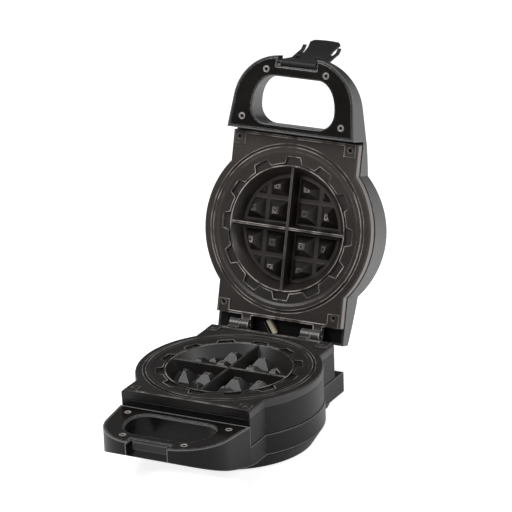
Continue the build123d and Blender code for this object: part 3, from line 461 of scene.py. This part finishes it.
# Near-black steel painted as the shade inside the screws' cross recesses
recess_shade_steel = bright_steel(
    "recess_shade_steel",
    dark=(0.010, 0.009, 0.009),
    light=(0.024, 0.021, 0.020),
    rough=0.5,
)
dark_steel = bright_steel(
    "dark_steel",
    dark=(0.10, 0.09, 0.085),
    light=(0.20, 0.18, 0.17),
    rough=0.34,
)
trough_steel = bright_steel(
    "trough_steel",
    dark=(0.11, 0.085, 0.07),
    light=(0.22, 0.18, 0.155),
    rough=0.30,
)
sheet_steel = bright_steel(
    "sheet_steel",
    dark=(0.60, 0.60, 0.61),
    light=(0.78, 0.78, 0.79),
    rough=0.22,
)
element = burnt_steel()
rubber = soft_rubber()
sleeving = woven_sleeve()
red_lens = lens("red_lens", deep=(0.40, 0.012, 0.008), pale=(0.66, 0.05, 0.03))
green_lens = lens("green_lens", deep=(0.02, 0.22, 0.05), pale=(0.06, 0.46, 0.12))

finishes = {
    "lower_plate": shaded_base_casting,
    "upper_plate": lid_casting,
    "lower_plate_screws": dark_steel,
    "upper_plate_screws": dark_steel,
    "hinge_pin_left": dark_steel,
    "hinge_pin_right": dark_steel,
    "lower_heater": element,
    "upper_heater": element,
    "lower_heater_clamps": sheet_steel,
    "upper_heater_clamps": sheet_steel,
    "lower_reflector": sheet_steel,
    "upper_reflector": sheet_steel,
    "base_casing": casing_satin,
    "base_shell": shaded_base_gloss,
    "bottom_cover": casing_satin,
    "bottom_cover_screws": dark_steel,
    "front_left_foot": rubber,
    "front_right_foot": rubber,
    "rear_left_foot": rubber,
    "rear_right_foot": rubber,
    "base_handle_cover": handle_gloss,
    "lid_handle_cover": handle_gloss,
    "base_handle_screws": screw_steel,
    "lid_handle_screws": screw_steel,
    "latch_keeper": keeper_matte,
    "cord_gland": rubber,
    "thermostat": sheet_steel,
    "thermal_fuse": sheet_steel,
    "terminal_block": white_block,
    "lid_shell": lid_gloss,
    "lid_liner": casing_satin,
    "power_light": red_lens,
    "ready_light": green_lens,
    "latch": latch_matte,
    "latch_pin": dark_steel,
    "wire_sleeve": sleeving,
}
for name, finish in finishes.items():
    nodes[name].data.materials.clear()
    nodes[name].data.materials.append(finish)

# Each half's own pieces are drawn in millimetres in the frame of its cooking circle: Y runs to the
# hinge and Z away from the food
millimetre = 0.001
base_place = Matrix((
    (-millimetre, 0.0, 0.0, 0.0),
    (0.0, millimetre, 0.0, circle_y),
    (0.0, 0.0, -millimetre, parting_z),
    (0.0, 0.0, 0.0, 1.0),
))
lid_place = Matrix((
    (millimetre, 0.0, 0.0, 0.0),
    (0.0, millimetre * open_cos, millimetre * open_sin, lid_middle[1]),
    (0.0, -millimetre * open_sin, millimetre * open_cos, lid_middle[2]),
    (0.0, 0.0, 0.0, 1.0),
))

half_places = {"base": base_place, "lid": lid_place}


def add_piece(name, form, finish, body, replaced=(), second=None):
    """Make an object of a finished form, with smooth faces parted at its sharp edges"""
    sharp_turn = math.radians(32.0)
    for face in form.faces:
        face.smooth = True
    for edge in form.edges:
        edge.smooth = edge.calc_face_angle(0.0) < sharp_turn
    shape = bpy.data.meshes.new(name)
    form.to_mesh(shape)
    form.free()
    shape.materials.append(finish)
    if second:
        shape.materials.append(second)
    piece = bpy.data.objects.new(name, shape)
    bpy.context.scene.collection.objects.link(piece)
    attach(piece, body)
    if replaced:
        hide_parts(*replaced)
    return piece


def eased_copy(node, name, body, segments):
    """Merged copy of a CAD node whose long sharp edges are rounded, as a mould leaves them"""
    rounding = 0.0008
    shortest_edge = 0.0007
    merge_distance = 0.000002
    level_turn = math.radians(0.6)
    sharp_turn = math.radians(38.0)
    form = bmesh.new()
    form.from_mesh(nodes[node].data)
    bmesh.ops.remove_doubles(form, verts=form.verts, dist=merge_distance)
    bmesh.ops.dissolve_limit(form, angle_limit=level_turn, verts=form.verts, edges=form.edges)
    fine = set()
    for edge in form.edges:
        if edge.calc_length() < shortest_edge:
            fine.update(edge.verts)
    chosen = [
        edge
        for edge in form.edges
        if edge.is_convex
        and edge.calc_face_angle(0.0) > sharp_turn
        and not fine.intersection(edge.verts)
    ]
    bmesh.ops.bevel(
        form,
        geom=chosen,
        offset=rounding,
        offset_type="OFFSET",
        segments=segments,
        profile=0.5,
        affect="EDGES",
        material=-1,
        clamp_overlap=False,
    )
    piece = add_piece(name, form, finishes[node], body, (node,))
    even = piece.modifiers.new("even_shading", "WEIGHTED_NORMAL")
    even.keep_sharp = True


eased_copy("base_casing", "base_casing_moulding", "base", segments=3)
eased_copy("lid_handle_cover", "lid_cover_moulding", "lid", segments=2)
eased_copy("base_handle_cover", "base_cover_moulding", "base", segments=2)


def screw_form(length):
    """Pan-head screw, spun from one profile, with a cross-shaped driver recess whose faces take
    material 1, a near-black steel painted as the shade in the recess
    """
    head_radius = 3.15
    head_depth = 1.4
    shank_radius = 1.5
    recess_depth = 1.6
    profile = (
        (0.0, recess_depth),
        (0.8, recess_depth),
        (1.75, 1.3),
        (2.15, 0.1),
        (2.45, -0.2),
        (2.8, -0.1),
        (3.08, 0.3),
        (head_radius, 0.7),
        (head_radius, 1.38),
        (shank_radius, head_depth),
        (shank_radius, length - 1.0),
        (0.5, length),
        (0.0, length),
    )
    form = bmesh.new()
    points = [form.verts.new((radius, 0.0, depth)) for radius, depth in profile]
    lines = [form.edges.new(pair) for pair in zip(points, points[1:])]
    bmesh.ops.spin(
        form,
        geom=points + lines,
        cent=(0, 0, 0),
        axis=(0, 0, 1),
        angle=math.tau,
        steps=32,
        use_merge=True,
    )
    bmesh.ops.remove_doubles(form, verts=form.verts, dist=0.001)

    # The recess narrows between the four wings of its cross and widens along them
    narrow, wing_growth = 0.78, 0.34
    middle_reach, wall_reach, wall_end = 0.4, 2.0, 1.7
    for point in form.verts:
        reach = math.hypot(point.co.x, point.co.y)
        if middle_reach < reach < wall_reach and point.co.z < wall_end:
            wing = abs(math.cos(2.0 * math.atan2(point.co.y, point.co.x))) ** 3
            swell = narrow + wing_growth * wing
            point.co.x *= swell
            point.co.y *= swell
    bmesh.ops.recalc_face_normals(form, faces=form.faces)
    # The recess faces take material 1, the near-black steel painted as shade
    recess_reach, recess_floor = 2.2, 2.0
    for face in form.faces:
        centre = face.calc_center_median()
        if math.hypot(centre.x, centre.y) < recess_reach and centre.z < recess_floor:
            face.material_index = 1
    return form


def cross_screws(name, node, body, places, face_z, length, finish):
    """Equal screws in one piece, their heads on a face of a half"""
    form = screw_form(length)
    shape = bpy.data.meshes.new("screw_pattern")
    form.to_mesh(shape)
    form.free()
    screws = bmesh.new()
    for x, y in places:
        before = set(screws.verts)
        screws.from_mesh(shape)
        fresh = [point for point in screws.verts if point not in before]
        bmesh.ops.translate(screws, verts=fresh, vec=(x, y, face_z))
    bpy.data.meshes.remove(shape)
    bmesh.ops.transform(screws, matrix=half_places[body], verts=screws.verts)
    add_piece(name, screws, finish, body, (node,), recess_shade_steel)


# Screws in millimetres: places in the plane of a half, the faces they sit on, and lengths
cover_corners = ((66.5, -130.5), (40.0, -190.5))
cover_places = [(side * x, y) for side in (-1, 1) for x, y in cover_corners]
lid_cover_face = -16.0
base_cover_face = 19.5
cover_length = 14.0
plate_corner_x = 74.5
plate_corners_y = (-104.5, 99.1)
plate_places = [(side * plate_corner_x, y) for side in (-1, 1) for y in plate_corners_y]
plate_face = 0.3
plate_length = 17.5
cross_screws(
    "lid_cover_screws",
    "lid_handle_screws",
    "lid",
    places=cover_places,
    face_z=lid_cover_face,
    length=cover_length,
    finish=screw_steel,
)
cross_screws(
    "base_cover_screws",
    "base_handle_screws",
    "base",
    places=cover_places,
    face_z=base_cover_face,
    length=cover_length,
    finish=screw_steel,
)
cross_screws(
    "lid_plate_fixings",
    "upper_plate_screws",
    "lid",
    places=plate_places,
    face_z=plate_face,
    length=plate_length,
    finish=dark_steel,
)
cross_screws(
    "base_plate_fixings",
    "lower_plate_screws",
    "base",
    places=plate_places,
    face_z=plate_face,
    length=plate_length,
    finish=dark_steel,
)


def swept(outline, start, end):
    """Closed bar whose outline (across, depth) is carried in millimetres from start to end"""
    form = bmesh.new()
    run = end - start
    across = Vector((run.y, -run.x, 0.0)).normalized()
    corners = [form.verts.new(start + across * u + Vector((0.0, 0.0, w))) for u, w in outline]
    section = form.faces.new(corners)
    grown = bmesh.ops.extrude_face_region(form, geom=[section])
    moved = [part for part in grown["geom"] if isinstance(part, bmesh.types.BMVert)]
    bmesh.ops.translate(form, verts=moved, vec=run)
    if not any(len(face.verts) == len(outline) and face.normal.dot(run) < 0.0 for face in form.faces):
        form.faces.new(corners)
    bmesh.ops.recalc_face_normals(form, faces=form.faces)
    return form


# The lead's path over the hinge line in millimetres of the lid's half
trough_depth = 8.4
lead_start = Vector((-15.0, 114.4, trough_depth))
lead_end = Vector((-4.0, 129.6, trough_depth))


def add_lead_trough():
    """Folded steel trough that guides the heater lead, open toward the food side"""
    outer, inner = 5.9, 5.1
    outer_floor, inner_floor = 4.8, 4.0
    lip = -3.8
    outline = (
        (-outer, lip),
        (-inner, lip),
        (-inner, inner_floor),
        (inner, inner_floor),
        (inner, lip),
        (outer, lip),
        (outer, outer_floor),
        (-outer, outer_floor),
    )
    trough = swept(outline, lead_start, lead_end)
    bmesh.ops.bevel(
        trough,
        geom=trough.edges[:],
        offset=0.2,
        offset_type="OFFSET",
        segments=1,
        profile=0.5,
        affect="EDGES",
        material=-1,
    )
    bmesh.ops.transform(trough, matrix=lid_place, verts=trough.verts)
    add_piece("lead_trough", trough, trough_steel, "lid")


def add_lead_sheath():
    """Round sleeve over the heater lead, lying in the trough"""
    radius = 3.3
    depth = 8.0
    sides = 28
    turns = [math.tau * step / sides for step in range(sides)]
    rise = depth - trough_depth
    outline = [(radius * math.cos(turn), rise + radius * math.sin(turn)) for turn in turns]
    sheath = swept(outline, lead_start, lead_end)
    bmesh.ops.transform(sheath, matrix=lid_place, verts=sheath.verts)
    add_piece("lead_sheath", sheath, sleeving, "lid", ("wire_sleeve",))


add_lead_trough()
add_lead_sheath()

lamp_target = Vector((0.0, 0.02, 0.18))


def area_light(name, place, size, energy):
    """Soft box that points at the middle of the object"""
    data = bpy.data.lights.new(name, "AREA")
    data.shape = "RECTANGLE"
    data.size, data.size_y = size
    data.energy = energy
    lamp = bpy.data.objects.new(name, data)
    bpy.context.scene.collection.objects.link(lamp)
    lamp.location = place
    aim = lamp_target - Vector(place)
    lamp.rotation_mode = "QUATERNION"
    lamp.rotation_quaternion = aim.to_track_quat("-Z", "Y")


area_light("key_box", place=(-0.80, -0.95, 1.50), size=(0.8, 0.8), energy=15.0)
area_light("top_box", place=(-0.45, -0.35, 1.85), size=(1.0, 1.0), energy=12.0)
area_light("right_box", place=(1.5, 0.2, 0.9), size=(0.3, 0.4), energy=6.0)

# White surroundings for the view and through glass, and a low level for the light they give.
# In reflections they are bright to the right of the object
world = bpy.data.worlds.new("studio")
bpy.context.scene.world = world
world.use_nodes = True
studio = Network(world.node_tree, "Background")
heading = studio.node("ShaderNodeTexCoord", {}, {}, "Generated")
rightness = studio.node("ShaderNodeSeparateXYZ", {}, {0: heading}, "X")
seen = studio.larger(studio.ray("Camera"), studio.ray("Transmission"))
level = studio.spread(seen, 0.0, 1.0, 0.14, 1.0)
mirrored_wall = studio.ray("Glossy") * studio.spread(rightness, 0.0, 0.3, 0.0, 0.9)
studio.shader.inputs["Color"].default_value = colour(1.0, 1.0, 1.0)
studio.feed("Strength", studio.larger(level, mirrored_wall))

# Pale floor that shows white and keeps the object's shadow
mesh = bpy.data.meshes.new("studio_floor")
form = bmesh.new()
bmesh.ops.create_grid(form, x_segments=1, y_segments=1, size=6.0)
form.to_mesh(mesh)
form.free()
floor = bpy.data.objects.new("studio_floor", mesh)
bpy.context.scene.collection.objects.link(floor)

# In reflections the paper is bright to the right of the object and fades to the front left
paper = Recipe(
    "studio_paper", Base_Color=colour(0.80, 0.80, 0.80), Roughness=0.9, Specular_IOR_Level=0.0
)
rightward = paper.along(paper.place, (1.0, 0.35, 0.0))
mirrored_paper = paper.ray("Glossy") * paper.spread(rightward, 0.0, 0.3, 0.0, 0.85)
white = paper.larger(paper.larger(paper.ray("Camera") * 0.85, mirrored_paper), 0.2)
paper.shader.inputs["Emission Color"].default_value = colour(1.0, 1.0, 1.0)
paper.feed("Emission Strength", white)
mesh.materials.append(paper.material)

# Camera at the photograph's angle, taking the image as 512 by 512
azimuth, elevation, roll = (math.radians(value) for value in (27.7165, 20.5806, -2.0141))
camera_place = (1.87159, -3.52284, 1.71649)
focal_pixels = 3600.0
image_pixels = 512.0
sensor_width = 36.0
back = Vector((
    math.sin(azimuth) * math.cos(elevation),
    -math.cos(azimuth) * math.cos(elevation),
    math.sin(elevation),
))
level_right = Vector((math.cos(azimuth), math.sin(azimuth), 0.0))
level_up = level_right.cross(-back)
right = math.cos(roll) * level_right + math.sin(roll) * level_up
up = math.cos(roll) * level_up - math.sin(roll) * level_right
view = Matrix((right, up, back)).transposed()
data = bpy.data.cameras.new("view_camera")
data.sensor_width = sensor_width
data.lens = focal_pixels / image_pixels * sensor_width
data.clip_start = 0.1
data.clip_end = 30.0
camera = bpy.data.objects.new("view_camera", data)
bpy.context.scene.collection.objects.link(camera)
camera.matrix_world = Matrix.Translation(camera_place) @ view.to_4x4()
bpy.context.scene.camera = camera
bpy.context.scene.view_settings.view_transform = "Standard"
